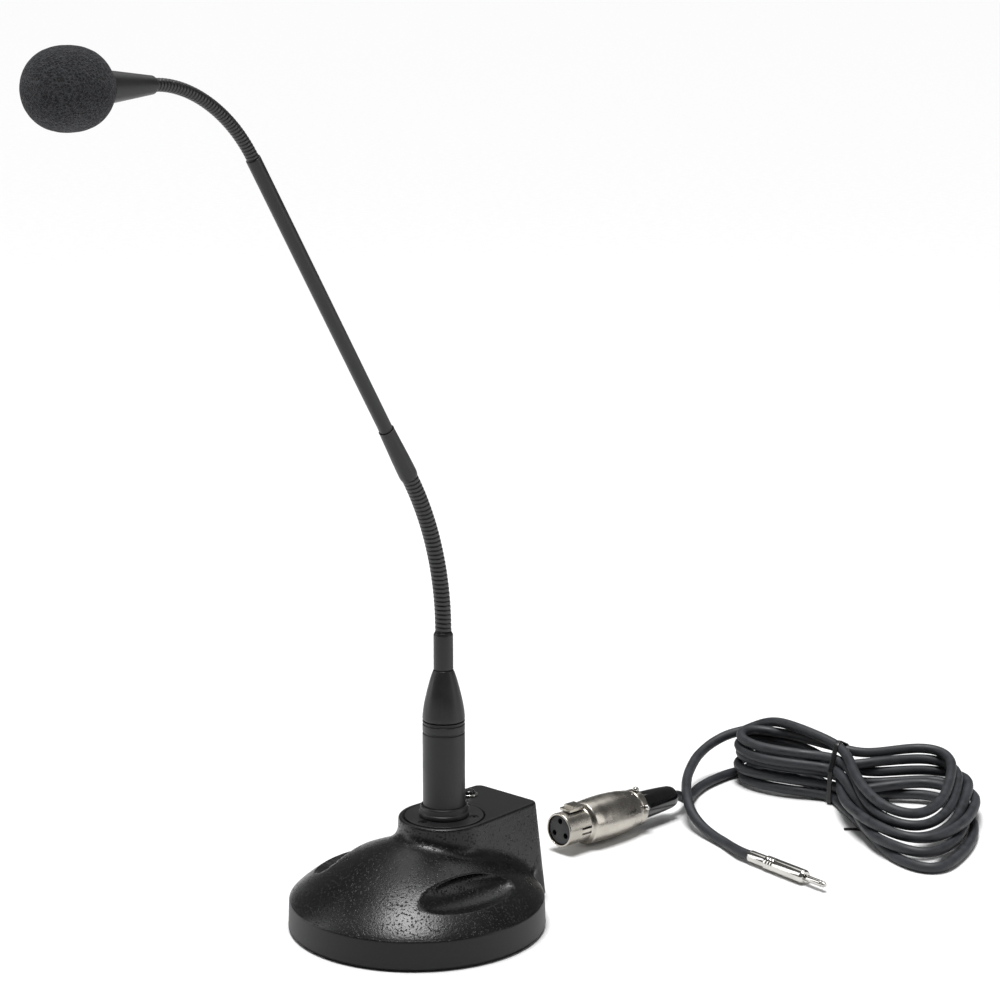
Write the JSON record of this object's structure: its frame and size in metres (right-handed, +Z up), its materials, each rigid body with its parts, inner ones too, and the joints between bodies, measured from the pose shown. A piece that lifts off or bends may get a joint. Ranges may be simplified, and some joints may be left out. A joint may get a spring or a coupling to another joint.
{
  "type": "gooseneck podium microphone",
  "caption": "Podium microphone on a domed round desk base with a plug-in two-stage gooseneck, foam windscreen, mute button, rear cable outlet and a coiled connecting cable.",
  "frame": {"origin": "centre of the round foot, on the table", "axes": "+Z up, -Y the front the microphone leans towards, +X to the right of the base seen from the front"},
  "size_m": [0.2288, 0.5604, 0.4527],
  "materials": {
    "rubber_pad": "matt black rubber",
    "plate_steel": "plain zinc plated sheet",
    "cast_black": "semi gloss black paint with a fine orange peel",
    "ballast": "raw casting",
    "satin_black": "satin black powder coat",
    "gloss_black": "gloss black moulding",
    "ring_black": "satin black wound metal",
    "nickel": "satin nickel plating",
    "chrome": "bright chrome plating",
    "screw_dark": "blackened steel",
    "insulator": "fine matt black moulding",
    "capsule_metal": "perforated and plain light alloy",
    "circuit": "green solder mask",
    "wire": "soft red insulation",
    "cable": "matt dark grey jacket",
    "foam": "open cell dark grey foam"
  },
  "bodies": {
    "base": {"foot_pad": "rubber_pad", "base_plate": "plate_steel", "base_shell": "cast_black", "foot_screw_1": "screw_dark", "foot_screw_2": "screw_dark", "foot_screw_3": "screw_dark", "ballast_weight": "ballast", "socket_plate": "satin_black", "socket_screw_1": "screw_dark", "socket_screw_2": "screw_dark", "socket_screw_3": "screw_dark", "socket_collar": "gloss_black", "socket_housing": "insulator", "socket_insert": "insulator", "button_bezel": "chrome", "switch_body": "insulator", "circuit_board": "circuit", "outlet_shell": "nickel", "outlet_insert": "insulator", "outlet_screw_1": "screw_dark", "outlet_screw_2": "screw_dark", "socket_leads": "wire", "outlet_leads": "wire", "cable_plug_shell": "nickel", "cable_plug_insert": "insulator", "cable_plug_clamp": "nickel", "clamp_screw_1": "screw_dark", "clamp_screw_2": "screw_dark", "cable_plug_boot": "gloss_black", "cable_lead_in": "cable", "cable_hank": "cable", "cable_tie": "rubber_pad", "cable_lead_out": "cable", "jack_collar": "chrome", "jack_barrel": "chrome", "jack_pin": "chrome"},
    "button": {"push_button": "gloss_black"},
    "latch": {"cable_plug_latch": "nickel"},
    "microphone": {"plug_sleeve": "satin_black", "plug_insert": "insulator", "plug_nose": "satin_black", "neck_ferrule": "satin_black", "lower_neck_link_1": "ring_black"},
    "lower_link_2": {"lower_neck_link_2": "ring_black"},
    "lower_link_3": {"lower_neck_link_3": "ring_black"},
    "lower_link_4": {"lower_neck_link_4": "ring_black"},
    "lower_link_5": {"lower_neck_link_5": "ring_black"},
    "lower_link_6": {"lower_neck_link_6": "ring_black"},
    "stem": {"lower_neck_link_7": "ring_black", "stem_coupling": "satin_black", "stem_tube": "satin_black", "upper_neck_link_1": "ring_black"},
    "upper_link_2": {"upper_neck_link_2": "ring_black"},
    "upper_link_3": {"upper_neck_link_3": "ring_black"},
    "upper_link_4": {"upper_neck_link_4": "ring_black"},
    "head": {"upper_neck_link_5": "ring_black", "capsule_housing": "satin_black", "capsule_element": "capsule_metal", "capsule_grille": "capsule_metal"},
    "foam": {"windscreen": "foam"}
  },
  "joints": [
    {"name": "microphone_unplug", "type": "slide", "parent": "base", "child": "microphone", "axis": [0, 0, 1], "range_m": [0, 0.024]},
    {"name": "lower_sway_1", "type": "hinge", "parent": "microphone", "child": "lower_link_2", "pos_m": [0, 0.02013, 0.15855], "axis": [0, 0.999, 0.0457], "range_deg": [-15, 15]},
    {"name": "lower_bend_1", "type": "hinge", "parent": "lower_link_2", "child": "lower_link_3", "pos_m": [0, 0.01881, 0.17298], "axis": [1, 0, 0], "range_deg": [-20, 12]},
    {"name": "lower_sway_2", "type": "hinge", "parent": "lower_link_3", "child": "lower_link_4", "pos_m": [0, 0.01618, 0.18724], "axis": [0, 0.974, 0.2264], "range_deg": [-15, 15]},
    {"name": "lower_bend_2", "type": "hinge", "parent": "lower_link_4", "child": "lower_link_5", "pos_m": [0, 0.01226, 0.20119], "axis": [1, 0, 0], "range_deg": [-20, 12]},
    {"name": "lower_sway_3", "type": "hinge", "parent": "lower_link_5", "child": "lower_link_6", "pos_m": [0, 0.00708, 0.21473], "axis": [0, 0.9167, 0.3995], "range_deg": [-15, 15]},
    {"name": "lower_bend_3", "type": "hinge", "parent": "lower_link_6", "child": "stem", "pos_m": [0, 0.00069, 0.22774], "axis": [1, 0, 0], "range_deg": [-20, 12]},
    {"name": "upper_sway_1", "type": "hinge", "parent": "stem", "child": "upper_link_2", "pos_m": [0, -0.10798, 0.40516], "axis": [0, 0.7915, 0.6112], "range_deg": [-20, 20]},
    {"name": "upper_bend_1", "type": "hinge", "parent": "upper_link_2", "child": "upper_link_3", "pos_m": [0, -0.12007, 0.41769], "axis": [1, 0, 0], "range_deg": [-28, 18]},
    {"name": "upper_sway_2", "type": "hinge", "parent": "upper_link_3", "child": "upper_link_4", "pos_m": [0, -0.13464, 0.42723], "axis": [0, 0.4459, 0.8951], "range_deg": [-20, 20]},
    {"name": "upper_bend_2", "type": "hinge", "parent": "upper_link_4", "child": "head", "pos_m": [0, -0.15109, 0.43287], "axis": [1, 0, 0], "range_deg": [-28, 18]},
    {"name": "windscreen_pull", "type": "slide", "parent": "head", "child": "foam", "axis": [0, -0.9999, 0.0105], "range_m": [0, 0.022]},
    {"name": "button_press", "type": "slide", "parent": "base", "child": "button", "axis": [0, 0, -1], "range_m": [0, 0.0018], "stiffness_N_per_m": 400, "springref_m": -0.001},
    {"name": "latch_press", "type": "slide", "parent": "base", "child": "latch", "axis": [-0.0011, -0.0174, -0.9998], "range_m": [0, 0.0013], "stiffness_N_per_m": 500, "springref_m": -0.0008}
  ],
  "couplings": [
    {"joint": "lower_sway_2", "follows": "lower_sway_1", "ratio": 1},
    {"joint": "lower_bend_2", "follows": "lower_bend_1", "ratio": 1},
    {"joint": "lower_sway_3", "follows": "lower_sway_1", "ratio": 1},
    {"joint": "lower_bend_3", "follows": "lower_bend_1", "ratio": 1},
    {"joint": "upper_sway_2", "follows": "upper_sway_1", "ratio": 1},
    {"joint": "upper_bend_2", "follows": "upper_bend_1", "ratio": 1}
  ]
}
